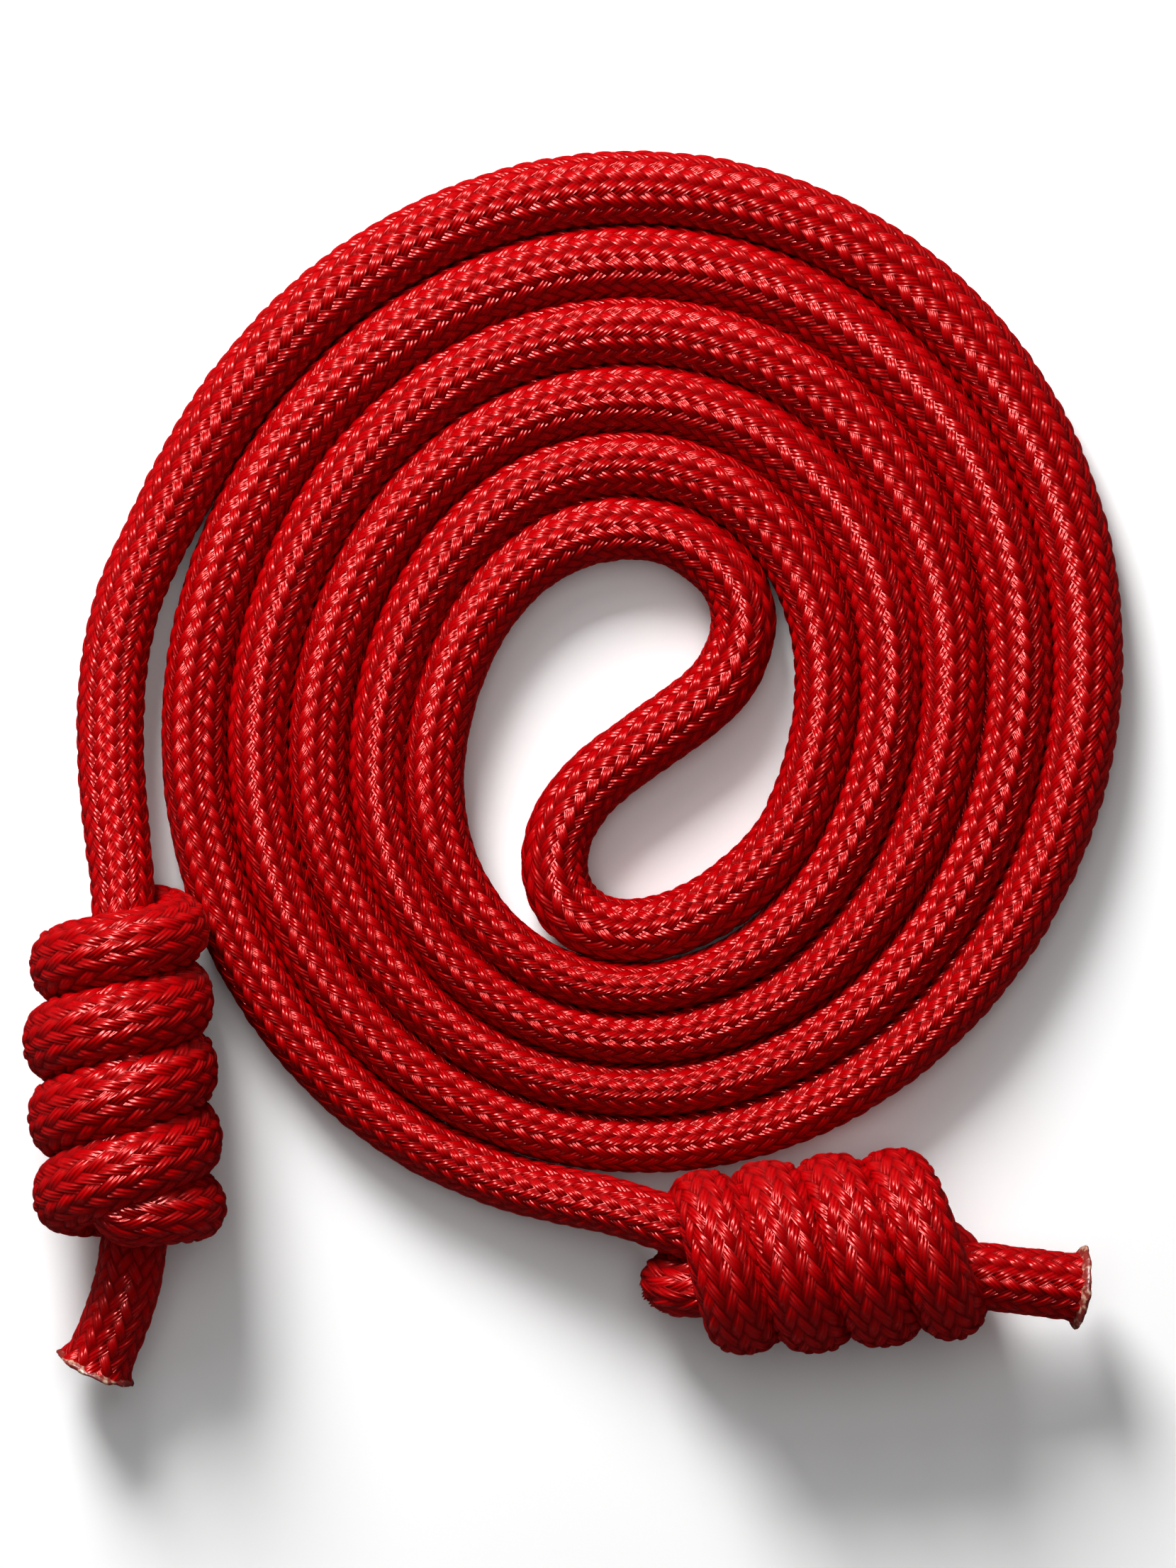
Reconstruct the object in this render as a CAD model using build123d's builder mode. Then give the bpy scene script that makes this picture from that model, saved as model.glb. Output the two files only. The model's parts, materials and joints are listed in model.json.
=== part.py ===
"""A lead rope, wound flat in a double spiral, with a stopper knot at each end.

The rope is a woven cover over a soft core, folded at its middle. Both halves start at the S-shaped middle and
lie side by side, turn after turn. The last stretch of each half leaves the coil, runs through a barrel-shaped
knot and ends in a short tail with a melted tip. The origin is on the floor under the middle of the bundle.
"""
from build123d import *
from math import cos, radians, sin, tan
import os

os.makedirs("parts", exist_ok=True)

# ---------------------------------------------------------------- driving dimensions, mm
rope_diameter = 14.0
rope_radius = rope_diameter / 2
cover_wall = 2.2
core_clearance = 0.05
rim_rounding = 4.5

# how much of the shorter run an arc of the rope's path may take up, and degrees between points of an outline
arc_share = 0.45
outline_step = 14.0

# the double spiral: radius of a strand's centre line after a number of turns from the middle of the rope
first_radius = 38.0
turn_growth = 23.6
growth_rise = 0.62
oval_width = -4.5
oval_fade = 0.66
oval_slant = 1.5
spiral_centre = (12.6, 6.8)
centre_drift = (1.03, 3.17)

# where each strand leaves the middle and where its last turn ends, degrees counted on from turn to turn
left_strand = 270.0
right_strand = 90.0
left_bend_end = 315.0
right_bend_end = 88.0
left_release = 1243.0
right_release = 968.0

# how far the outline of the packed turns stands off the strand that it follows: less than the rope's radius
# where the next piece of rope lies against it, reached over a number of degrees
step_back = 5.2
crowded_reach = 3.4
touching_reach = 5.0
outer_ease = 65.0
bend_reach = 3.4
bend_ease = 180.0
hook_reach = 4.8
hook_ease = 60.0

# knots
wrap_count = 5
wrap_spacing = 14.0
wrap_rounding = 5.0
strand_radius = 6.5
tip_length = 3.0
tip_flare = 1.2
tip_rounding = 0.6

# centre line of the S-shaped middle, from the right strand's start to the left strand's start
bend_height = rope_radius
middle_route = [
    (15.4, 49.2), (22.2, 47.7), (29.0, 43.6), (34.6, 37.0), (36.0, 27.4), (30.6, 16.2), (16.2, 6.2),
    (4.0, -2.6), (-2.6, -12.0), (-3.8, -22.6), (1.0, -31.0), (10.4, -34.4), (21.6, -32.8), (31.2, -28.0),
    (39.2, -21.9),
]

# one row for each free end: where its knot starts, which way the knot points, and the height it lies at
knots = {
    "left": {
        "entry": (-94.1, -27.2), "heading": -86.3, "radius": 19.5, "stack": 90.0, "strand_offset": 4.2,
        "lead": [(-91.2, 35.0, 7.6), (-94.0, 20.0, 10.0), (-94.6, 4.0, 14.2), (-93.8, -12.0, 19.4)],
        "tail": [(-89.0, -103.4, 14.4), (-91.4, -112.0, 11.6)], "tail_end": (-95.2, -119.4, 9.4),
    },
    "right": {
        "entry": (16.0, -103.2), "heading": 4.9, "radius": 19.0, "stack": 180.0, "strand_offset": 7.4,
        "lead": [(-13.0, -86.8, 9.2), (-2.6, -91.2, 12.8), (7.0, -93.8, 16.4)],
        "tail": [(91.0, -104.8, 18.4), (98.0, -105.8, 17.0)], "tail_end": (105.4, -106.7, 15.0),
    },
}


def strand_point(strand, angle, reach=0.0):
    """A point of a strand's centre line in the coil, or reach mm outside it."""
    turns = (angle - strand) / 360
    turn = radians(angle)
    oval = (oval_width + oval_fade * turns) * cos(2 * turn) + oval_slant * sin(2 * turn)
    radius = first_radius + turn_growth * turns + growth_rise * turns**2 + oval + reach
    centre_x = spiral_centre[0] + centre_drift[0] * turns
    centre_y = spiral_centre[1] + centre_drift[1] * turns
    return (centre_x + radius * cos(turn), centre_y + radius * sin(turn))


def strand_edge(strand, start, stop, first_reach, last_reach, ease):
    """Points along one side of a strand, whose reach changes evenly over the first ease degrees."""
    steps = round(abs(stop - start) / outline_step)
    points = []
    for step in range(steps + 1):
        angle = start + (stop - start) * step / steps
        eased = min(1.0, abs(angle - start) / ease)
        reach = first_reach + (last_reach - first_reach) * eased
        points.append(strand_point(strand, angle, reach))
    return points


def route_radii(points):
    """The largest arc at each corner of a route that leaves room for the arcs beside it."""
    vectors = [Vector(*point) for point in points]
    radii = []
    for before, corner, after in zip(vectors, vectors[1:], vectors[2:]):
        into = corner - before
        out = after - corner
        turn = radians(into.get_angle(out))
        radii.append(arc_share * min(into.length, out.length) / tan(turn / 2))
    return radii


def rope_path(points):
    """Straight runs joined by tangent arcs."""
    return FilletPolyline(*points, radius=route_radii(points))


def finish(piece, name):
    """Label a piece and write its STEP file."""
    piece.part.label = name
    export_step(piece.part, f"parts/{name}.step")
    solids = piece.part.solids()
    print(f"{name}: {len(solids)} solid(s), {sum(solid.volume for solid in solids) / 1000:.1f} cm3")


# ---------------------------------------------------------------- the packed turns of the coil
left_stop = left_release - step_back
right_stop = right_release - step_back
outer_left = strand_edge(left_strand, right_stop, left_stop, crowded_reach, rope_radius, outer_ease)
outer_right = strand_edge(
    right_strand, left_stop - 360, right_stop, touching_reach, touching_reach, outer_ease
)
inner_right = strand_edge(right_strand, right_bend_end, left_bend_end, -rope_radius, -bend_reach, bend_ease)
inner_left = strand_edge(
    left_strand, left_bend_end, right_bend_end + 360, -rope_radius, -hook_reach, hook_ease
)

with BuildPart() as coil_turns:
    with BuildSketch(Plane.XY):
        with BuildLine():
            Spline(*outer_left)
            Line(outer_left[-1], outer_right[0])
            Spline(*outer_right)
            Line(outer_right[-1], outer_left[0])
        make_face()
        with BuildLine():
            Spline(*inner_right)
            Line(inner_right[-1], inner_left[0])
            Spline(*inner_left)
            Line(inner_left[-1], inner_right[0])
        make_face(mode=Mode.SUBTRACT)
    extrude(amount=rope_diameter)
    rims = coil_turns.edges().group_by(Axis.Z)[-1] + coil_turns.edges().group_by(Axis.Z)[0]
    fillet(rims.filter_by(GeomType.BSPLINE), radius=rim_rounding)
finish(coil_turns, "coil_turns")

# ---------------------------------------------------------------- the S-shaped middle of the rope
bend_points = [(x, y, bend_height) for x, y in middle_route]
print("middle bend radii, mm:", [round(radius, 1) for radius in route_radii(bend_points)])

with BuildPart() as middle_bend_core:
    with BuildLine() as bend_path:
        rope_path(bend_points)
    with BuildSketch(Plane(bend_path.line @ 0, z_dir=bend_path.line % 0)):
        Circle(rope_radius - cover_wall - core_clearance)
    sweep(path=bend_path.line)
finish(middle_bend_core, "middle_bend_core")

with BuildPart() as middle_bend_cover:
    with BuildSketch(Plane(bend_path.line @ 0, z_dir=bend_path.line % 0)):
        Circle(rope_radius)
        Circle(rope_radius - cover_wall, mode=Mode.SUBTRACT)
    sweep(path=bend_path.line)
finish(middle_bend_cover, "middle_bend_cover")
print(f"middle bend length: {bend_path.wire().length:.0f} mm")

# ---------------------------------------------------------------- the free ends: lead, knot, tail and tip
hinges = {"left": strand_point(left_strand, left_release), "right": strand_point(right_strand, right_release)}

for side, knot in knots.items():
    hinge = (*hinges[side], rope_radius)
    heading = radians(knot["heading"])
    along = Vector(cos(heading), sin(heading), 0)
    stack = radians(knot["stack"])
    stacked = Vector(sin(heading), -cos(heading), 0) * cos(stack) + Vector(0, 0, 1) * sin(stack)
    entry = Vector(*knot["entry"], knot["radius"])
    barrel = Plane(entry, x_dir=stacked, z_dir=along)
    barrel_length = wrap_count * wrap_spacing
    strand_middle = stacked * knot["strand_offset"]

    # the lead runs from the coil to the knot and is round at the coil, where it swings
    lead_points = [hinge, *knot["lead"], tuple(entry + strand_middle)]
    print(side, "lead radii, mm:", [round(radius, 1) for radius in route_radii(lead_points)])
    with BuildPart() as lead_core:
        with BuildLine() as lead_path:
            rope_path(lead_points)
        with BuildSketch(Plane(lead_path.line @ 0, z_dir=lead_path.line % 0)):
            Circle(rope_radius - cover_wall - core_clearance)
        sweep(path=lead_path.line)
        split(bisect_by=barrel, keep=Keep.BOTTOM)
    with BuildPart() as lead_cover:
        with BuildSketch(Plane(lead_path.line @ 0, z_dir=lead_path.line % 0)):
            Circle(rope_radius)
        sweep(path=lead_path.line)
        with Locations(hinge):
            Sphere(rope_radius)
        with BuildSketch(Plane(lead_path.line @ 0, z_dir=lead_path.line % 0)):
            Circle(rope_radius - cover_wall)
        sweep(path=lead_path.line, mode=Mode.SUBTRACT)
        split(bisect_by=barrel, keep=Keep.BOTTOM)
    finish(lead_cover, f"{side}_lead_cover")
    finish(lead_core, f"{side}_lead_core")

    # the wraps of the knot lie against each other round the two strands that run through it
    for number in range(1, wrap_count + 1):
        with BuildPart() as wrap:
            with BuildSketch(barrel.offset((number - 1) * wrap_spacing)):
                Circle(knot["radius"])
                Circle(strand_radius + core_clearance, mode=Mode.SUBTRACT)
            extrude(amount=wrap_spacing)
            outer_rims = wrap.edges().filter_by(GeomType.CIRCLE).sort_by(SortBy.RADIUS)[-2:]
            fillet(outer_rims, radius=wrap_rounding)
        finish(wrap, f"{side}_knot_wrap_{number}")

    # the standing strand and the returning strand share the middle of the knot
    for name, toward in (("standing", 1), ("return", -1)):
        with BuildPart() as strand:
            with BuildSketch(barrel):
                Circle(strand_radius)
                with Locations((-toward * strand_radius, 0)):
                    Rectangle(2 * strand_radius, 2 * strand_radius, mode=Mode.SUBTRACT)
            extrude(amount=barrel_length)
        finish(strand, f"{side}_knot_{name}_strand")

    # the tail leaves the far end of the knot and ends in a flared, melted tip
    tail_start = entry + along * barrel_length - strand_middle
    tail_points = [tuple(tail_start), *knot["tail"], knot["tail_end"]]
    print(side, "tail radii, mm:", [round(radius, 1) for radius in route_radii(tail_points)])
    far_face = barrel.offset(barrel_length)
    with BuildPart() as tail_core:
        with BuildLine() as tail_path:
            rope_path(tail_points)
        with BuildSketch(Plane(tail_path.line @ 0, z_dir=tail_path.line % 0)):
            Circle(rope_radius - cover_wall - core_clearance)
        sweep(path=tail_path.line)
        split(bisect_by=far_face, keep=Keep.TOP)
    with BuildPart() as tail_cover:
        with BuildSketch(Plane(tail_path.line @ 0, z_dir=tail_path.line % 0)):
            Circle(rope_radius)
            Circle(rope_radius - cover_wall, mode=Mode.SUBTRACT)
        sweep(path=tail_path.line)
        split(bisect_by=far_face, keep=Keep.TOP)
    finish(tail_cover, f"{side}_tail_cover")
    finish(tail_core, f"{side}_tail_core")

    tip_base = Plane(tail_path.line @ 1, z_dir=tail_path.line % 1)
    with BuildPart() as sealed_tip:
        with BuildSketch(tip_base):
            Circle(rope_radius)
        with BuildSketch(tip_base.offset(tip_length)):
            Circle(rope_radius + tip_flare)
        loft()
        outer_rim = sealed_tip.edges().filter_by(GeomType.CIRCLE).sort_by(SortBy.RADIUS)[-1]
        fillet(outer_rim, radius=tip_rounding)
    finish(sealed_tip, f"{side}_sealed_tip")
    print(f"{side} lead {lead_path.wire().length:.0f} mm, tail {tail_path.wire().length + tip_length:.0f} mm")
    print(f"{side} hinge at {hinge[0]:.2f}, {hinge[1]:.2f}")
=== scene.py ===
# %% [markdown]
# # A braided lead rope
# A lead rope is one length of soft polyester rope that a handler clips or threads to a halter. This one
# is folded at its middle and wound flat from there, so two strands lie side by side turn after turn.
# Each end has a barrel-shaped stopper knot and a short tail whose tip is melted so that it can't fray.
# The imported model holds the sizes, the joints and the plain solids, and this lesson makes what is seen.

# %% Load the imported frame
import json
from math import cos, hypot, radians, sin, tau

import bmesh
import bpy
import numpy as np
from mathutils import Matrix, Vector, noise


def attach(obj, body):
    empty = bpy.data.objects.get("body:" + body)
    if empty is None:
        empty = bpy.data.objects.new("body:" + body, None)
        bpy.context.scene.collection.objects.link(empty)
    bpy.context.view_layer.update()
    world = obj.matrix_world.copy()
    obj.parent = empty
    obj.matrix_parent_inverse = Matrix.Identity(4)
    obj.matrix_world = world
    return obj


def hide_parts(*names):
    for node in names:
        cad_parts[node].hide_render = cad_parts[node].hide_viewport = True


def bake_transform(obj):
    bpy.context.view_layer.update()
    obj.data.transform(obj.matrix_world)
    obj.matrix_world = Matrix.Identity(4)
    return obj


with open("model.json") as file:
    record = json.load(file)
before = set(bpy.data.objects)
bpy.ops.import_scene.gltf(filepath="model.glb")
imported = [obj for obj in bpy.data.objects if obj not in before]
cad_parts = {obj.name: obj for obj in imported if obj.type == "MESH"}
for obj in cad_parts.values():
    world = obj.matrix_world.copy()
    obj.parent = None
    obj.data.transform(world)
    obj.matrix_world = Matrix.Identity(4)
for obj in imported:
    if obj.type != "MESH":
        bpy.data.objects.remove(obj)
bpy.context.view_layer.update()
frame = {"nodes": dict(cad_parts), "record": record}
MM = 0.001
ROPE_DIAMETER = 14 * MM
ROPE_RADIUS = ROPE_DIAMETER / 2

# %% [markdown]
# ## Camera, floor and light
# The rope is seen from straight above, as on a white table. The lens is long and far away, so that the tall
# knots don't lean outwards. Three lamps share the work. The large key lamp stands beyond the far edge, a
# little to the left, so that shadows fall softly towards the near right, and the top lamp fills them. Both
# are kept out of the gloss, with the table and the room, because their reflections lay a grey veil on deep
# red. The small glint lamp lights only the gloss, so that each glint stays compact.

# %% Camera straight above the coil
LENS_MM = 180
SENSOR_MM = 36
VIEW_HEIGHT = 322.6 * MM
AIM = (4.1 * MM, -3.6 * MM, ROPE_RADIUS)

camera = bpy.data.objects.new("camera", bpy.data.cameras.new("camera"))
camera.data.lens = LENS_MM
camera.data.sensor_width = SENSOR_MM
camera.location = (AIM[0], AIM[1], AIM[2] + VIEW_HEIGHT * LENS_MM / SENSOR_MM)
bpy.context.collection.objects.link(camera)
bpy.context.scene.camera = camera
print(f"camera {camera.location.z:.3f} m above the floor")


# %% Floor and lamps
def shader_material(name, **sockets):
    """A new material whose shader has these values on its own sockets."""
    material = bpy.data.materials.new(name)
    material.use_nodes = True
    shader = material.node_tree.nodes["Principled BSDF"]
    for socket, value in sockets.items():
        shader.inputs[socket.replace("_", " ")].default_value = value
    return material, shader


def area_lamp(name, place, size, power, target=AIM):
    """A soft square lamp that faces the rope."""
    lamp = bpy.data.objects.new(name, bpy.data.lights.new(name, "AREA"))
    lamp.data.size = size
    lamp.data.energy = power
    lamp.location = place
    lamp.rotation_euler = (Vector(target) - Vector(place)).to_track_quat("-Z", "Y").to_euler()
    bpy.context.collection.objects.link(lamp)
    return lamp


table_bm = bmesh.new()
bmesh.ops.create_grid(table_bm, x_segments=1, y_segments=1, size=3)
table_mesh = bpy.data.meshes.new("table")
table_bm.to_mesh(table_mesh)
table_bm.free()
table = bpy.data.objects.new("table", table_mesh)
bpy.context.collection.objects.link(table)
table_white, _ = shader_material("table_white", Base_Color=(0.93, 0.93, 0.93, 1), Roughness=0.9)
table_mesh.materials.append(table_white)

KEY_PLACE = (-0.40, 1.0, 0.66)
TOP_PLACE = (0.0, 0.2, 1.3)
GLINT_PLACE = (-0.28, 0.70, 0.90)
ROOM_LIGHT = 0.11
key_lamp = area_lamp("key_lamp", KEY_PLACE, size=0.5, power=30)
top_lamp = area_lamp("top_lamp", TOP_PLACE, size=1.0, power=4.5)
glint_lamp = area_lamp("glint_lamp", GLINT_PLACE, size=0.22, power=60)
key_lamp.visible_glossy = False
top_lamp.visible_glossy = False
glint_lamp.visible_diffuse = False
table.visible_glossy = False
world = bpy.data.worlds.new("room")
world.use_nodes = True
world.node_tree.nodes["Background"].inputs["Color"].default_value = (1, 1, 1, 1)
world.node_tree.nodes["Background"].inputs["Strength"].default_value = ROOM_LIGHT
world.cycles_visibility.glossy = False
bpy.context.scene.world = world
bpy.context.scene.view_settings.view_transform = "Standard"

# %% [markdown]
# ## Where the rope runs
# The whole rope is one line: left tail, left knot, left strand of the coil, the S-shaped middle, right
# strand, right knot and right tail. The turns follow a spiral formula, whose
# values were fitted to the measured places of the turns. The middle and the free ends are points placed
# one by one. One NURBS spline past them all gives a smooth line to build the braid on.

# %% The double spiral
FIRST_RADIUS = 38.0
TURN_GROWTH = 23.6
GROWTH_RISE = 0.62
OVAL_WIDTH = -4.5
OVAL_FADE = 0.66
OVAL_SLANT = 1.5
SPIRAL_CENTRE = (12.6, 6.8)
CENTRE_DRIFT = (1.03, 3.17)
LEFT_STRAND = 270
RIGHT_STRAND = 90
POINT_STEP = 10
TURN_SHRINK = 1.0038
OUTER_SLACK = 0.7
SLACK_FROM = 2.15
SLACK_TURNS = 0.35
NARROWEST = 0.74
WIDEST = 1.13
ROOM_TAKEN = 1.03


def strand_point(turns, angle):
    """A point of a strand's centre line, in mm, after some turns from the rope's middle."""
    turn = radians(angle)
    oval = (OVAL_WIDTH + OVAL_FADE * turns) * cos(2 * turn) + OVAL_SLANT * sin(2 * turn)
    radius = (FIRST_RADIUS + TURN_GROWTH * turns + GROWTH_RISE * turns**2 + oval) * TURN_SHRINK
    radius += OUTER_SLACK * min(1.0, max(0.0, (turns - SLACK_FROM) / SLACK_TURNS))
    return (
        SPIRAL_CENTRE[0] + CENTRE_DRIFT[0] * turns + radius * cos(turn),
        SPIRAL_CENTRE[1] + CENTRE_DRIFT[1] * turns + radius * sin(turn),
    )


def strand_crowding(turns, angle):
    """How wide a strand can be between its neighbours, as a share of the free rope's width."""
    x, y = strand_point(turns, angle)
    outer_x, outer_y = strand_point(turns + 0.5, angle)
    inner_x, inner_y = strand_point(turns - 0.5, angle)
    room = (hypot(outer_x - x, outer_y - y) + hypot(x - inner_x, y - inner_y)) / 2
    crowded = min(WIDEST, max(NARROWEST, ROOM_TAKEN * room * MM / ROPE_DIAMETER))
    return 1 + (crowded - 1) * min(1.0, 2 * max(0.0, turns))


def strand_points(strand, start, stop):
    """Control points of a stretch of a strand, each with its share of the free width."""
    step = POINT_STEP if stop > start else -POINT_STEP
    points = []
    for angle in range(start, stop, step):
        turns = (angle - strand) / 360
        width = strand_crowding(turns, angle)
        points.append((*strand_point(turns, angle), ROPE_RADIUS / MM / width**0.5, width))
    return points


left_turns = strand_points(LEFT_STRAND, 1236, 316)
right_turns = strand_points(RIGHT_STRAND, 94, 966)
print(len(left_turns), "and", len(right_turns), "points on the turns")

# %% The S-shaped middle and the two leads, point by point
FREE = 1.0
middle_points = [
    (38.8, -21.7, 7.1, 0.97), (31.0, -27.8, 7.1, 0.96), (21.6, -32.7, 7.1, 0.96), (10.6, -34.4, 7.1, 0.96),
    (1.2, -31.1, 7.1, 0.98), (-3.3, -22.8, 7.0, FREE), (-1.9, -12.4, 7.0, FREE), (4.6, -3.2, 7.0, FREE),
    (16.8, 5.6, 7.0, FREE), (31.2, 15.6, 7.0, FREE), (36.7, 27.2, 7.0, 0.98), (35.2, 37.0, 7.1, 0.96),
    (29.0, 43.6, 7.1, 0.95), (22.2, 47.7, 7.1, 0.95), (15.4, 49.2, 7.1, 0.95),
]
left_lead = [
    (-90.7, -24.0, 21.8, 0.94), (-92.3, -13.0, 18.4, 0.98), (-94.0, 3.0, 13.6, FREE),
    (-93.7, 20.0, 9.8, FREE), (-90.5, 35.3, 7.8, FREE), (-85.2, 46.6, 7.0, FREE),
]
right_lead = [
    (-23.2, -80.9, 7.4, 0.88), (-12.6, -85.5, 8.8, 0.86), (-2.2, -87.8, 11.4, 0.86), (7.9, -89.6, 14.8, 0.86),
    (15.6, -91.8, 17.2, 0.84),
]
print(len(middle_points), "points in the middle,", len(left_lead), "and", len(right_lead), "in the leads")

# %% [markdown]
# ## The stopper knots
# Both knots are the same knot: the rope runs in through the barrel, turns out at the far end, winds back
# over itself in four and a half right-handed wraps, dives in where it came from and runs out beside itself
# as the tail. The barrel is laid out along its own axis, and the roll turns it about that axis.

# %% One knot, from where the rope enters to the tail's tip
KNOT_POINTS_PER_TURN = 16
SPLINE_SHRINK = 1.02
COVERED_START = 4.0
COVERED_TURN = radians(80)
INSIDE_WIDTH = 0.9
LEANING_TURNS = 3
TIGHTENS_AFTER = 2.2

knots = {
    "left": {
        "entry": (-93.4, -27.2, 19.8), "heading": -86.3, "roll": 0, "spacing": 14.2, "last_wrap": 49.6,
        "lean": (3.0, -1.3), "stretch": 1.0, "nudge": -1.6, "radius": 12.8, "entry_radius": 11.4,
        "wind": (84, 1680), "far_end": 63.6,
        "standing": [(6, -2.2, 4.6), (18, -1.0, 4.4), (32, 0.8, 4.4), (46, 2.4, 4.4), (57, 3.4, 6.6)],
        "returning": [
            (5.5, -1.0, -8.6), (11, 0.6, -5.4), (20, 0, -4.4), (32, 0, -4.4), (46, 0, -4.4), (60, -2.4, -4.4),
        ],
        "tail": [(-89.0, -98.0, 15.2), (-90.2, -106.5, 14.0), (-93.2, -115.0, 12.6), (-97.0, -123.5, 11.3)],
    },
    "right": {
        "entry": (16.2, -102.4, 19.3), "heading": 4.8, "roll": 90, "spacing": 13.0, "last_wrap": 51.8,
        "lean": (3.3, 0.0), "stretch": 1.08, "nudge": 0, "radius": 12.4, "entry_radius": 11.4,
        "wind": (286, 1735), "far_end": 62.0,
        "standing": [(10, 0, 6.6), (20, 0, 4.8), (32, 0, 4.2), (44, -1.0, 2.6), (54, -3.6, 0.4)],
        "returning": [
            (4.5, -6.5, -3.5), (7, -2, -5), (14, 0, -4.6), (32, 0, -4.4), (46, 0, -4.8), (58, 0, -6.4),
        ],
        "tail": [(84.4, -103.9, 18.8), (91.4, -105.0, 18.2), (99.0, -105.9, 17.2), (106.2, -106.8, 15.9)],
    },
}


def knot_points(knot):
    """Control points from the entry of the knot to the tip of its tail."""
    heading = radians(knot["heading"])
    roll = radians(knot["roll"])
    along = Vector((cos(heading), sin(heading), 0))
    level = Vector((0, 0, 1)).cross(-along)
    sideways = level * cos(roll) + Vector((0, 0, 1)) * sin(roll)
    upright = level * -sin(roll) + Vector((0, 0, 1)) * cos(roll)
    entry = Vector(knot["entry"])

    def place(distance, aside, above, width=FREE):
        return (*(entry + along * distance + sideways * aside + upright * above), width)

    points = [place(*point, INSIDE_WIDTH) for point in knot["standing"]]
    first_wrap = len(points)
    first, last = (radians(angle - knot["roll"]) for angle in knot["wind"])
    steps = round((last - first) / tau * KNOT_POINTS_PER_TURN)
    for step in range(steps + 1):
        turn = first + (last - first) * step / steps
        level_turn = turn + roll
        progress = (level_turn / tau - 1) / LEANING_TURNS
        lean = knot["lean"][0] + (knot["lean"][1] - knot["lean"][0]) * progress
        distance = knot["last_wrap"] - knot["spacing"] * (level_turn / tau - 1.5)
        distance = min(distance + lean * (1 + cos(level_turn)) / 2, knot["far_end"])
        tightening = min(1.0, max(0.0, progress * LEANING_TURNS - TIGHTENS_AFTER))
        radius = knot["radius"] + (knot["entry_radius"] - knot["radius"]) * tightening
        radius -= COVERED_START * max(0.0, 1 - (turn - first) / COVERED_TURN)
        radius *= SPLINE_SHRINK
        aside = radius * cos(turn) + knot["nudge"] * tightening
        points.append(place(distance, aside, radius * knot["stretch"] * sin(turn)))
    last_wrap = len(points) - 1
    points += [place(*point, INSIDE_WIDTH) for point in knot["returning"]]
    points += [(*point, FREE) for point in knot["tail"]]
    knot["axis"] = np.array(along)
    knot["wrap_ends"] = [np.array(points[index][:3]) * MM for index in (first_wrap, last_wrap)]
    return points


left_knot = knot_points(knots["left"])
right_knot = knot_points(knots["right"])
print(len(left_knot), "and", len(right_knot), "points in the knots")

# %% One spline for the whole rope
rope_points = left_knot[::-1] + left_lead + left_turns + middle_points + right_turns + right_lead + right_knot


def spline_line(points):
    """The smooth line that a NURBS spline draws past its points."""
    curve = bpy.data.curves.new("rope_line", "CURVE")
    curve.dimensions = "3D"
    curve.resolution_u = 10
    spline = curve.splines.new("NURBS")
    spline.points.add(len(points) - 1)
    for point, place in zip(spline.points, points):
        point.co = (*place, 1)
    spline.order_u = 3
    spline.use_endpoint_u = True
    holder = bpy.data.objects.new("rope_line", curve)
    mesh = bpy.data.meshes.new_from_object(holder)
    line = np.array([vertex.co for vertex in mesh.vertices])
    bpy.data.meshes.remove(mesh)
    bpy.data.objects.remove(holder)
    bpy.data.curves.remove(curve)
    return line


def distances(line):
    """How far along the line each of its points is."""
    return np.concatenate([[0], np.cumsum(np.linalg.norm(np.diff(line, axis=0), axis=1))])


rope_line = spline_line([(x * MM, y * MM, z * MM) for x, y, z, width in rope_points])
rope_width = spline_line([(width, 0, 0) for x, y, z, width in rope_points])[:, 0]
rope_at = distances(rope_line)
ROPE_LENGTH = rope_at[-1]
print(f"the rope is {ROPE_LENGTH:.3f} m long, from {len(rope_points)} points")


# %% A frame that travels along the rope without twisting
def travelling_frame(line):
    """At each point of the line: its direction, and a side direction that turns as little as it can."""
    ahead = np.gradient(line, axis=0)
    ahead /= np.linalg.norm(ahead, axis=1)[:, None]
    side = np.zeros_like(line)
    side[0] = np.cross((0, 0, 1), ahead[0])
    side[0] /= np.linalg.norm(side[0])
    for index in range(1, len(line)):
        carried = side[index - 1] - ahead[index] * (side[index - 1] @ ahead[index])
        side[index] = carried / np.linalg.norm(carried)
    return ahead, side


rope_ahead, rope_side = travelling_frame(rope_line)


def along_rope(values, at):
    """Values that are known at the line's points, read off at any distances along the rope."""
    if values.ndim == 1:
        return np.interp(at, rope_at, values)
    return np.stack([np.interp(at, rope_at, values[:, axis]) for axis in range(values.shape[1])], axis=-1)


def unit(vectors):
    """The same directions with a length of one."""
    return vectors / np.linalg.norm(vectors, axis=-1, keepdims=True)


print("frame carried along", len(rope_line), "points")


# %% How hard the wraps of a knot press on each other
PRESS_EASE = 70 * MM
PRESS_SQUARENESS = 0.35
PRESS_WIDTH = 0.15


def nearest_distance(place):
    """How far along the rope the point nearest to a place is."""
    return rope_at[np.linalg.norm(rope_line - place, axis=1).argmin()]


for knot in knots.values():
    knot["wrapped"] = sorted(nearest_distance(place) for place in knot["wrap_ends"])
    print("wraps from {:.3f} to {:.3f} m along the rope".format(*knot["wrapped"]))


def wrap_press(at):
    """From 0 on free rope to 1 in the wraps of a knot."""
    press = np.zeros_like(at)
    for knot in knots.values():
        start, stop = knot["wrapped"]
        press += np.clip((at - start) / PRESS_EASE, 0, 1) * np.clip((stop - at) / PRESS_EASE, 0, 1)
    return press


def wrap_axis(at):
    """The axis of the knot that each place on the rope belongs to."""
    return np.where((at < ROPE_LENGTH / 2)[:, None], knots["left"]["axis"], knots["right"]["axis"])

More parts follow.
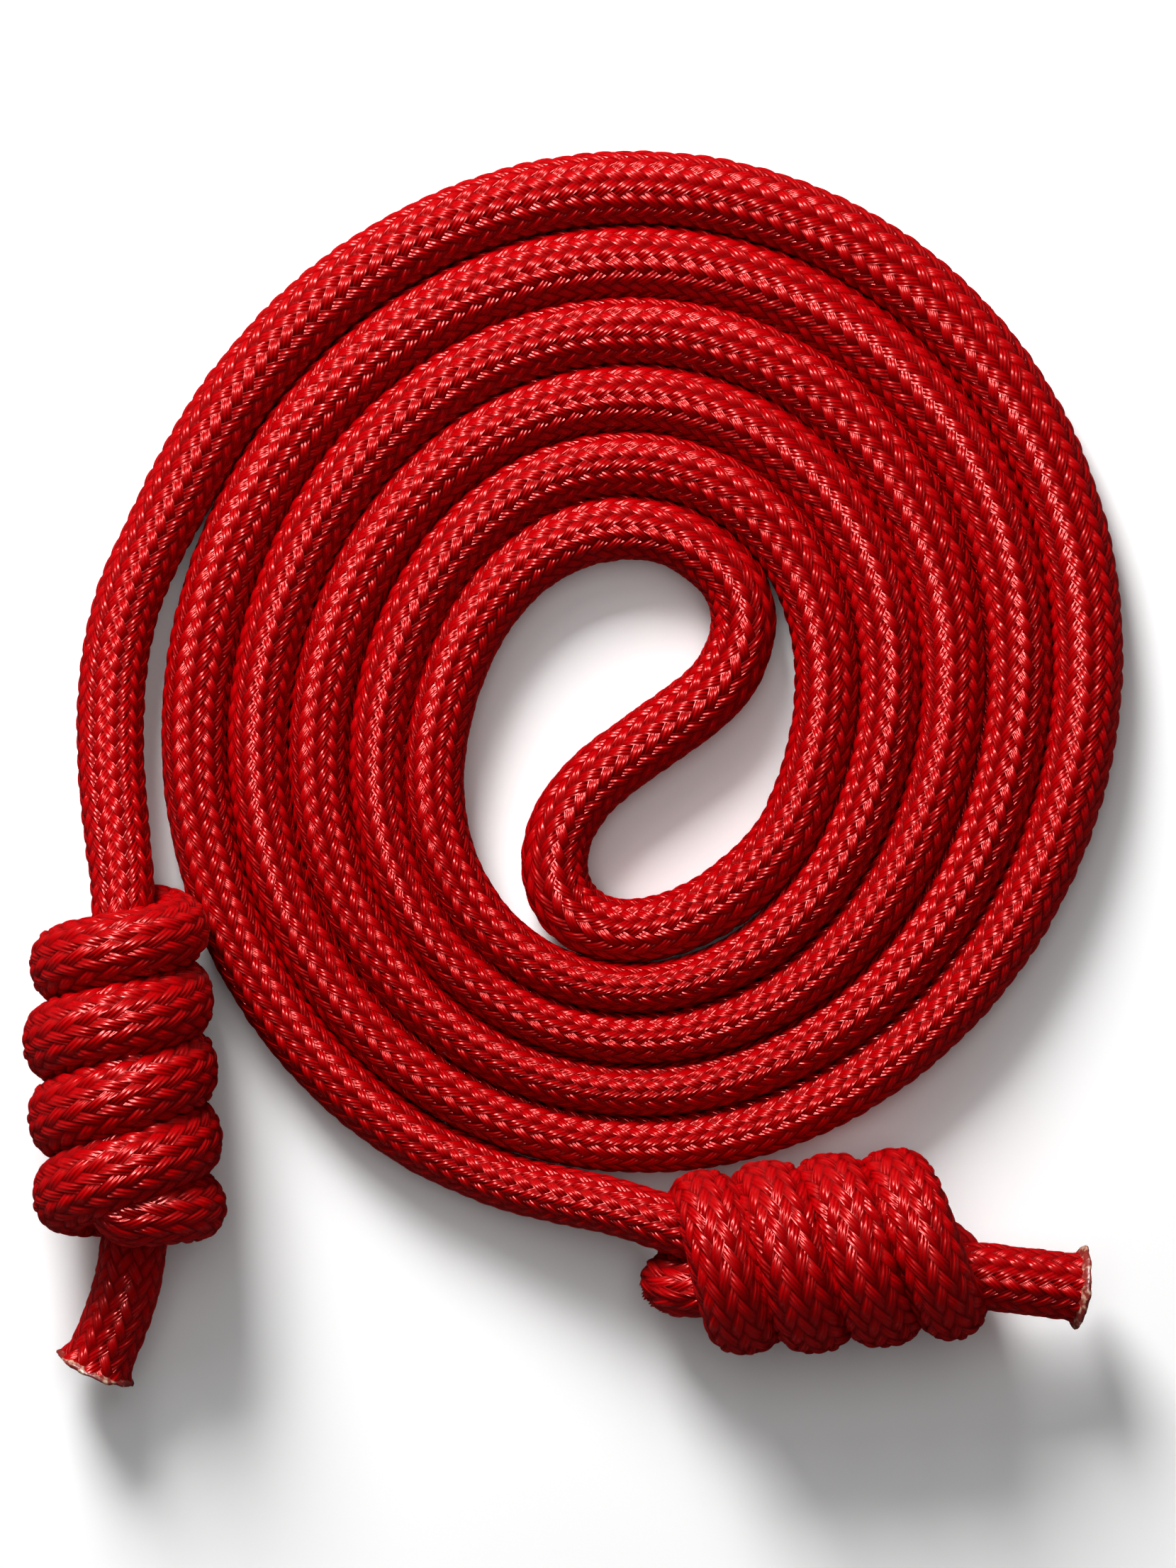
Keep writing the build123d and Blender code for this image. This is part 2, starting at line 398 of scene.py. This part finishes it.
# %% [markdown]
# ## The braid
# Sixteen plaits wind one way round the rope and sixteen the other, each passing over two and under two.
# A flat grid stands for the cover, unrolled: across it go the sixteen plaits, along it the rope's length.
# Poking every face gives edges on both diagonals, which are the ways the plaits run, so each float of a
# plait gets clean edges when its middle is raised. The grid is then rolled round the rope's line.

# %% The plait pattern on the unrolled cover
PLAITS_EACH_WAY = 16
PLAIT_STEP = 3.9 * MM
GRID_PER_PLAIT = 4
RELIEF = 0.5 * MM
LOWEST_FLOAT = 0.78
FLOAT_VARIETY = 0.44
TIP_FLARE = 0.2
TIP_FLARE_LENGTH = 5 * MM


def plait_pattern(around, along):
    """For points of the unrolled cover: which plaits cross there, which is on top, and how high it stands."""
    rising = around + along
    falling = around - along
    rising_plait = np.floor(rising)
    falling_plait = np.floor(falling)
    beat = np.mod(rising_plait + falling_plait, 4)
    rising_on_top = beat < 2
    across = np.where(rising_on_top, rising - rising_plait, falling - falling_plait)
    run = np.where(rising_on_top, falling - falling_plait + (beat == 1), rising - rising_plait + (beat == 3))
    plait = np.where(rising_on_top, rising_plait, falling_plait)
    crossing = np.where(rising_on_top, falling_plait - (beat == 1), rising_plait - (beat == 3))
    crown = 1 - np.abs(2 * across - 1) ** 4
    belly = 1 - np.abs(run - 1) ** 2
    return rising_on_top, plait, crossing, crown * belly


def float_noise(on_top, plait, crossing, seed):
    """A steady random number from 0 to 1 for each float."""
    mixed = np.sin(plait * 12.9898 + crossing * 78.233 + on_top * 37.719 + seed * 3.117) * 43758.5453
    return mixed - np.floor(mixed)


def surface_points(around, at, radius):
    """Points round the rope's line, pressed narrower where its neighbours crowd it."""
    centre = along_rope(rope_line, at)
    ahead = unit(along_rope(rope_ahead, at))
    side = along_rope(rope_side, at)
    side = unit(side - ahead * (side * ahead).sum(axis=1, keepdims=True))
    over = np.cross(ahead, side)
    turn = around / PLAITS_EACH_WAY * tau
    offset = (side * np.cos(turn)[:, None] + over * np.sin(turn)[:, None]) * radius[:, None]
    level = unit(np.cross(np.array([0.0, 0.0, 1.0]), ahead))
    width = along_rope(rope_width, at)[:, None]
    sideways = (offset * level).sum(axis=1, keepdims=True)
    offset = offset - level * sideways
    offset = offset / width**0.5 + level * sideways * width
    press = wrap_press(at)
    axial = np.abs((offset * wrap_axis(at)).sum(axis=1)) / np.linalg.norm(offset, axis=1)
    squareness = 2 + PRESS_SQUARENESS * press
    rounded = (axial / (1 + PRESS_WIDTH * press)) ** squareness
    rounded += np.sqrt(np.clip(1 - axial**2, 0, 1)) ** squareness
    return centre + offset * (rounded ** (-1 / squareness))[:, None]


print("plaits each way:", PLAITS_EACH_WAY, "lay:", round(PLAITS_EACH_WAY * PLAIT_STEP / MM, 1), "mm")


# %% Roll a stretch of cover round the rope
def finished_piece(name, mesh, material):
    """A smooth piece of its own from a closed mesh."""
    bm = bmesh.new()
    bm.from_mesh(mesh)
    bmesh.ops.remove_doubles(bm, verts=bm.verts, dist=0.01 * MM)
    rim = [edge for edge in bm.edges if edge.is_boundary]
    for edge in rim:
        edge.smooth = False
    bmesh.ops.holes_fill(bm, edges=rim, sides=0)
    bmesh.ops.recalc_face_normals(bm, faces=bm.faces)
    bm.to_mesh(mesh)
    bm.free()
    mesh.polygons.foreach_set("use_smooth", np.ones(len(mesh.polygons), dtype=bool))
    mesh.materials.append(material)
    piece = bpy.data.objects.new(name, mesh)
    bpy.context.collection.objects.link(piece)
    return piece


def braided_cover(name, start, stop, material):
    """A closed stretch of braided cover, from start to stop metres along the rope."""
    first = round(start / PLAIT_STEP)
    last = round(stop / PLAIT_STEP)
    if stop >= ROPE_LENGTH:
        last = int(ROPE_LENGTH / PLAIT_STEP)
    around_cells = PLAITS_EACH_WAY * GRID_PER_PLAIT
    along_cells = (last - first) * GRID_PER_PLAIT
    bm = bmesh.new()
    bmesh.ops.create_grid(bm, x_segments=around_cells, y_segments=along_cells, size=0.5)
    bmesh.ops.poke(bm, faces=bm.faces)
    mesh = bpy.data.meshes.new(name)
    bm.to_mesh(mesh)
    bm.free()

    flat = np.zeros(len(mesh.vertices) * 3)
    mesh.vertices.foreach_get("co", flat)
    flat = flat.reshape(-1, 3)
    around = (flat[:, 0] + 0.5) * PLAITS_EACH_WAY
    along = first + (flat[:, 1] + 0.5) * (last - first)
    at = along * PLAIT_STEP
    on_top, plait, crossing, height = plait_pattern(around % PLAITS_EACH_WAY, along)
    rise = LOWEST_FLOAT + FLOAT_VARIETY * float_noise(on_top, plait % PLAITS_EACH_WAY, crossing, 1)
    radius = ROPE_RADIUS - RELIEF * (1 - height * rise)
    from_tip = np.minimum(at, ROPE_LENGTH - at)
    radius *= 1 + TIP_FLARE * np.clip(1 - from_tip / TIP_FLARE_LENGTH, 0, 1) ** 2
    places = surface_points(around, at, radius)
    mesh.vertices.foreach_set("co", places.ravel())

    # the place of every corner on its own float, for the look of the yarns
    corner_vertex = np.zeros(len(mesh.loops), dtype=int)
    mesh.loops.foreach_get("vertex_index", corner_vertex)
    corner_around = around[corner_vertex].reshape(-1, 3)
    corner_along = along[corner_vertex].reshape(-1, 3)
    middle_around = corner_around.mean(axis=1)
    middle_along = corner_along.mean(axis=1)
    on_top, plait, crossing, height = plait_pattern(middle_around, middle_along)
    rising = corner_around + corner_along
    falling = corner_around - corner_along
    on_rising = on_top[:, None]
    corner_across = np.where(on_rising, rising - plait[:, None], falling - plait[:, None])
    corner_run = np.where(on_rising, falling - crossing[:, None], rising - crossing[:, None])
    tint = float_noise(on_top, plait % PLAITS_EACH_WAY, crossing, 2)
    plait_map = mesh.uv_layers.new(name="plait")
    plait_map.data.foreach_set("uv", np.stack([corner_across, corner_run], axis=-1).ravel())
    tint_map = mesh.uv_layers.new(name="tint")
    tints = np.stack([tint, on_top.astype(float)], axis=-1)
    tint_map.data.foreach_set("uv", np.repeat(tints, 3, axis=0).ravel())

    cover = finished_piece(name, mesh, material)
    print(f"{name}: {(last - first) * PLAIT_STEP:.3f} m, {len(mesh.polygons)} faces")
    return cover, first * PLAIT_STEP, last * PLAIT_STEP


# %% [markdown]
# ## The red polyester
# Each float of a plait is a few flat bundles of shiny filaments. The colour is a deep red with painted shade
# in the gaps between floats, each float is a little lighter or darker than its neighbours, and fine ridges
# along each float break its shine into streaks.

# %% Braid material
braid_red, braid_shader = shader_material(
    "braided_polyester_red", Roughness=0.3, IOR=1.5, Specular_IOR_Level=0.6,
    Anisotropic=0.6, Specular_Tint=(1.0, 0.17, 0.16, 1)
)
nodes = braid_red.node_tree.nodes
links = braid_red.node_tree.links


def math_node(operation, first, second=None):
    """A math node fed by a socket or a number on each side."""
    node = nodes.new("ShaderNodeMath")
    node.operation = operation
    for socket, value in zip(node.inputs, (first, second)):
        if value is None:
            continue
        if isinstance(value, (int, float)):
            socket.default_value = value
        else:
            links.new(value, socket)
    return node.outputs[0]


plait_uv = nodes.new("ShaderNodeUVMap")
plait_uv.uv_map = "plait"
plait_axes = nodes.new("ShaderNodeSeparateXYZ")
links.new(plait_uv.outputs["UV"], plait_axes.inputs[0])
tint_uv = nodes.new("ShaderNodeUVMap")
tint_uv.uv_map = "tint"
tint_axes = nodes.new("ShaderNodeSeparateXYZ")
links.new(tint_uv.outputs["UV"], tint_axes.inputs[0])

# how near the middle of its float a point is, across and along it
across_float_twice = math_node("MULTIPLY", plait_axes.outputs["X"], 2)
from_middle = math_node("ABSOLUTE", math_node("SUBTRACT", across_float_twice, 1))
from_belly = math_node("ABSOLUTE", math_node("SUBTRACT", plait_axes.outputs["Y"], 1))
crown = math_node("SUBTRACT", 1, math_node("POWER", from_middle, 4))
belly = math_node("SUBTRACT", 1, math_node("POWER", from_belly, 4))
raised = math_node("MULTIPLY", crown, belly)
# painted shade: the red is darkest at the edges and ends of each float, where it meets its neighbours and
# dives under the crossing plaits, and lightest on its crown; each float's own random tone scales it too
red_ramp_painted_gap_shade = nodes.new("ShaderNodeValToRGB")
red_ramp_painted_gap_shade.color_ramp.elements[0].color = (0.17, 0.0, 0.0004, 1)
red_ramp_painted_gap_shade.color_ramp.elements[1].position = 0.75
red_ramp_painted_gap_shade.color_ramp.elements[1].color = (0.35, 0.0, 0.001, 1)
DARKEST_FLOAT = 0.72
SHADE_VARIETY = 0.36
float_shade = math_node("ADD", DARKEST_FLOAT, math_node("MULTIPLY", tint_axes.outputs["X"], SHADE_VARIETY))
painted_gap_shade_and_float_tone = math_node("MULTIPLY", raised, float_shade)
links.new(painted_gap_shade_and_float_tone, red_ramp_painted_gap_shade.inputs["Fac"])
links.new(red_ramp_painted_gap_shade.outputs["Color"], braid_shader.inputs["Base Color"])

# yarns and filaments, as ridges along each float
YARNS_PER_PLAIT = 3
yarn_wave = math_node("SINE", math_node("MULTIPLY", plait_axes.outputs["X"], YARNS_PER_PLAIT * tau))
stretch = nodes.new("ShaderNodeCombineXYZ")
FILAMENTS_ACROSS = 9
FILAMENTS_ALONG = 1.3
FILAMENT_SHUFFLE = 40
links.new(math_node("MULTIPLY", plait_axes.outputs["X"], FILAMENTS_ACROSS), stretch.inputs["X"])
links.new(math_node("MULTIPLY", plait_axes.outputs["Y"], FILAMENTS_ALONG), stretch.inputs["Y"])
links.new(math_node("MULTIPLY", tint_axes.outputs["X"], FILAMENT_SHUFFLE), stretch.inputs["Z"])
filaments = nodes.new("ShaderNodeTexNoise")
filaments.inputs["Scale"].default_value = 1.0
filaments.inputs["Detail"].default_value = 2.0
links.new(stretch.outputs[0], filaments.inputs["Vector"])
YARN_RIDGE_MM = 0.05
FILAMENT_RIDGE_MM = 0.05
FLOAT_ARCH_MM = 0.42
FLOAT_FLATNESS_MM = 0.2
ridges = math_node("MULTIPLY", yarn_wave, YARN_RIDGE_MM)
ridges = math_node("ADD", ridges, math_node("MULTIPLY", filaments.outputs["Fac"], FILAMENT_RIDGE_MM))
arch = math_node("MULTIPLY", math_node("POWER", from_belly, 2), FLOAT_ARCH_MM)
flatness = math_node("MULTIPLY", math_node("POWER", from_middle, 2), FLOAT_FLATNESS_MM)
ridges = math_node("ADD", math_node("SUBTRACT", ridges, arch), flatness)
yarn_bump = nodes.new("ShaderNodeBump")
yarn_bump.inputs["Strength"].default_value = 1.0
yarn_bump.inputs["Distance"].default_value = 1 * MM
links.new(ridges, yarn_bump.inputs["Height"])
links.new(yarn_bump.outputs["Normal"], braid_shader.inputs["Normal"])
across_float = nodes.new("ShaderNodeTangent")
across_float.direction_type = "UV_MAP"
across_float.uv_map = "plait"
links.new(across_float.outputs["Tangent"], braid_shader.inputs["Tangent"])
print("braid material with", len(nodes), "nodes")

# %% [markdown]
# ## The core and the melted tips
# Inside the cover runs a core of three loosely twisted white strands, seen only if the cover is taken off.
# At each end the cut fibres were melted together, which leaves a flared, lumpy rim, scorched to a pale tan.

# %% Core and tip materials
FUZZ_PER_METRE = 900
SCORCH_PER_METRE = 620
core_white, _ = shader_material("core_fibre_white", Base_Color=(0.78, 0.76, 0.71, 1), Roughness=0.7)
core_nodes = core_white.node_tree.nodes
core_place = core_nodes.new("ShaderNodeTexCoord")
core_noise = core_nodes.new("ShaderNodeTexNoise")
core_noise.inputs["Scale"].default_value = FUZZ_PER_METRE
core_bump = core_nodes.new("ShaderNodeBump")
core_bump.inputs["Distance"].default_value = 0.2 * MM
core_white.node_tree.links.new(core_place.outputs["Object"], core_noise.inputs["Vector"])
core_white.node_tree.links.new(core_noise.outputs["Fac"], core_bump.inputs["Height"])
core_white.node_tree.links.new(core_bump.outputs["Normal"], core_nodes["Principled BSDF"].inputs["Normal"])

tip_melt, _ = shader_material("melted_fibre_tip", Roughness=0.42, IOR=1.5)
tip_nodes = tip_melt.node_tree.nodes
tip_place = tip_nodes.new("ShaderNodeTexCoord")
tip_noise = tip_nodes.new("ShaderNodeTexNoise")
tip_noise.inputs["Scale"].default_value = SCORCH_PER_METRE
tip_noise.inputs["Detail"].default_value = 3
tip_ramp = tip_nodes.new("ShaderNodeValToRGB")
tip_ramp.color_ramp.elements[0].position = 0.5
tip_ramp.color_ramp.elements[0].color = (0.2, 0.012, 0.008, 1)
tip_ramp.color_ramp.elements[1].position = 0.72
tip_ramp.color_ramp.elements[1].color = (0.62, 0.42, 0.28, 1)
tip_bump = tip_nodes.new("ShaderNodeBump")
tip_bump.inputs["Distance"].default_value = 0.3 * MM
tip_melt.node_tree.links.new(tip_place.outputs["Object"], tip_noise.inputs["Vector"])
tip_melt.node_tree.links.new(tip_noise.outputs["Fac"], tip_ramp.inputs["Fac"])
tip_melt.node_tree.links.new(tip_ramp.outputs["Color"], tip_nodes["Principled BSDF"].inputs["Base Color"])
tip_melt.node_tree.links.new(tip_noise.outputs["Fac"], tip_bump.inputs["Height"])
tip_melt.node_tree.links.new(tip_bump.outputs["Normal"], tip_nodes["Principled BSDF"].inputs["Normal"])
print("core and tip materials made")


# %% Core of a stretch
CORE_RADIUS = 3.9 * MM
CORE_STRANDS = 3
CORE_LOBE = 0.7 * MM
CORE_TWIST = 45 * MM
CORE_STEP = 3 * MM
CORE_SIDES = 24


def twisted_core(name, start, stop, material):
    """A closed stretch of the core, three strands twisted together."""
    bm = bmesh.new()
    bmesh.ops.create_grid(bm, x_segments=CORE_SIDES, y_segments=round((stop - start) / CORE_STEP), size=0.5)
    mesh = bpy.data.meshes.new(name)
    bm.to_mesh(mesh)
    bm.free()
    flat = np.zeros(len(mesh.vertices) * 3)
    mesh.vertices.foreach_get("co", flat)
    flat = flat.reshape(-1, 3)
    around = (flat[:, 0] + 0.5) * PLAITS_EACH_WAY
    at = start + (flat[:, 1] + 0.5) * (stop - start)
    twist = (around / PLAITS_EACH_WAY + at / CORE_TWIST) * CORE_STRANDS * tau / 2
    places = surface_points(around, at, CORE_RADIUS + CORE_LOBE * np.abs(np.cos(twist)))
    mesh.vertices.foreach_set("co", places.ravel())
    return finished_piece(name, mesh, material)


# %% Melted tip of one end
TIP_PROFILE = [
    (0, -1.3), (6.9, -1.3), (7.9, -0.7), (8.5, -0.3), (8.4, 0.1),
    (7.5, 0.4), (6.2, 0.3), (3.4, 0.2), (0, 0.3),
]
TIP_STEPS = 60
TIP_LUMP = 0.5 * MM
LUMPS_PER_METRE = 420
RIM_RADIUS = 8 * MM


def melted_tip(name, at, outward, material):
    """The lumpy rim of melted fibre that closes the rope's end."""
    bm = bmesh.new()
    profile = [bm.verts.new((radius * MM, 0, rise * MM)) for radius, rise in TIP_PROFILE]
    edges = [bm.edges.new(pair) for pair in zip(profile, profile[1:])]
    bmesh.ops.spin(
        bm, geom=profile + edges, cent=(0, 0, 0), axis=(0, 0, 1), angle=tau, steps=TIP_STEPS, use_merge=True
    )
    bmesh.ops.remove_doubles(bm, verts=bm.verts, dist=0.01 * MM)
    ahead, side = (unit(along_rope(values, np.array([at])))[0] for values in (rope_ahead, rope_side))
    over = np.cross(ahead, side)
    centre = along_rope(rope_line, np.array([at]))[0]
    for vertex in bm.verts:
        x, y, z = vertex.co
        lump = noise.noise(vertex.co * LUMPS_PER_METRE + Vector((at * 50, 0, 0)))
        swell = 1 + lump * TIP_LUMP / RIM_RADIUS
        rise = z + lump * TIP_LUMP * (hypot(x, y) / RIM_RADIUS)
        vertex.co = Vector(centre + (side * x + over * y) * swell + ahead * outward * rise)
    mesh = bpy.data.meshes.new(name)
    bm.to_mesh(mesh)
    bm.free()
    return finished_piece(name, mesh, material)


# %% [markdown]
# ## Cut the rope into pieces and make them
# Each free end is a piece of its own, because it swings on a joint where it leaves the coil, and the coil
# is cut into four stretches of equal length, so that no piece gets too heavy to edit.

# %% Where the pieces start and end
joints = frame["record"]["behaviour"]["joints"]
hinge_of = {joint["child"]: np.array(joint["pos_m"]) for joint in joints}

SEAM_BEFORE_HINGE = 12 * MM
left_hinge_at = nearest_distance(hinge_of["left_end"])
right_hinge_at = nearest_distance(hinge_of["right_end"])
coil_start = left_hinge_at + SEAM_BEFORE_HINGE
coil_stop = right_hinge_at - SEAM_BEFORE_HINGE
quarter = (coil_stop - coil_start) / 4
print(f"coil from {coil_start:.3f} to {coil_stop:.3f} m")

# %% Covers, cores and tips of all stretches
stretches = {
    "left_end": (0, coil_start),
    "left_outer_turns": (coil_start, coil_start + quarter),
    "left_inner_turns": (coil_start + quarter, coil_start + 2 * quarter),
    "right_inner_turns": (coil_start + 2 * quarter, coil_start + 3 * quarter),
    "right_outer_turns": (coil_start + 3 * quarter, coil_stop),
    "right_end": (coil_stop, ROPE_LENGTH),
}


def carry(piece, stretch):
    """Make a piece ride on the coil, or, on a free end, bake its place into its mesh."""
    if stretch not in hinge_of:
        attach(piece, "coil")
        return
    hinge_at = nearest_distance(hinge_of[stretch])
    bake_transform(piece)


def end_nodes(side, *kinds):
    """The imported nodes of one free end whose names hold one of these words."""
    return [node for node in frame["nodes"] if node.startswith(side) and any(kind in node for kind in kinds)]


for name, (start, stop) in stretches.items():
    cover, cut_start, cut_stop = braided_cover(name + "_cover", start, stop, braid_red)
    core = twisted_core(name + "_core", cut_start, cut_stop, core_white)
    side = name.split("_")[0]
    if name in hinge_of:
        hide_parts(*end_nodes(side, "cover", "wrap", "strand"))
        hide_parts(*end_nodes(side, "core"))
        outward = -1 if name == "left_end" else 1
        tip = melted_tip(side + "_sealed_tip_melt", cut_start if outward < 0 else cut_stop, outward, tip_melt)
        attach(tip, name)
        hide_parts(*end_nodes(side, "tip"))
    else:
        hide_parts("coil_turns", "middle_bend_cover")
        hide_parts("middle_bend_core")
    carry(cover, name)
    carry(core, name)
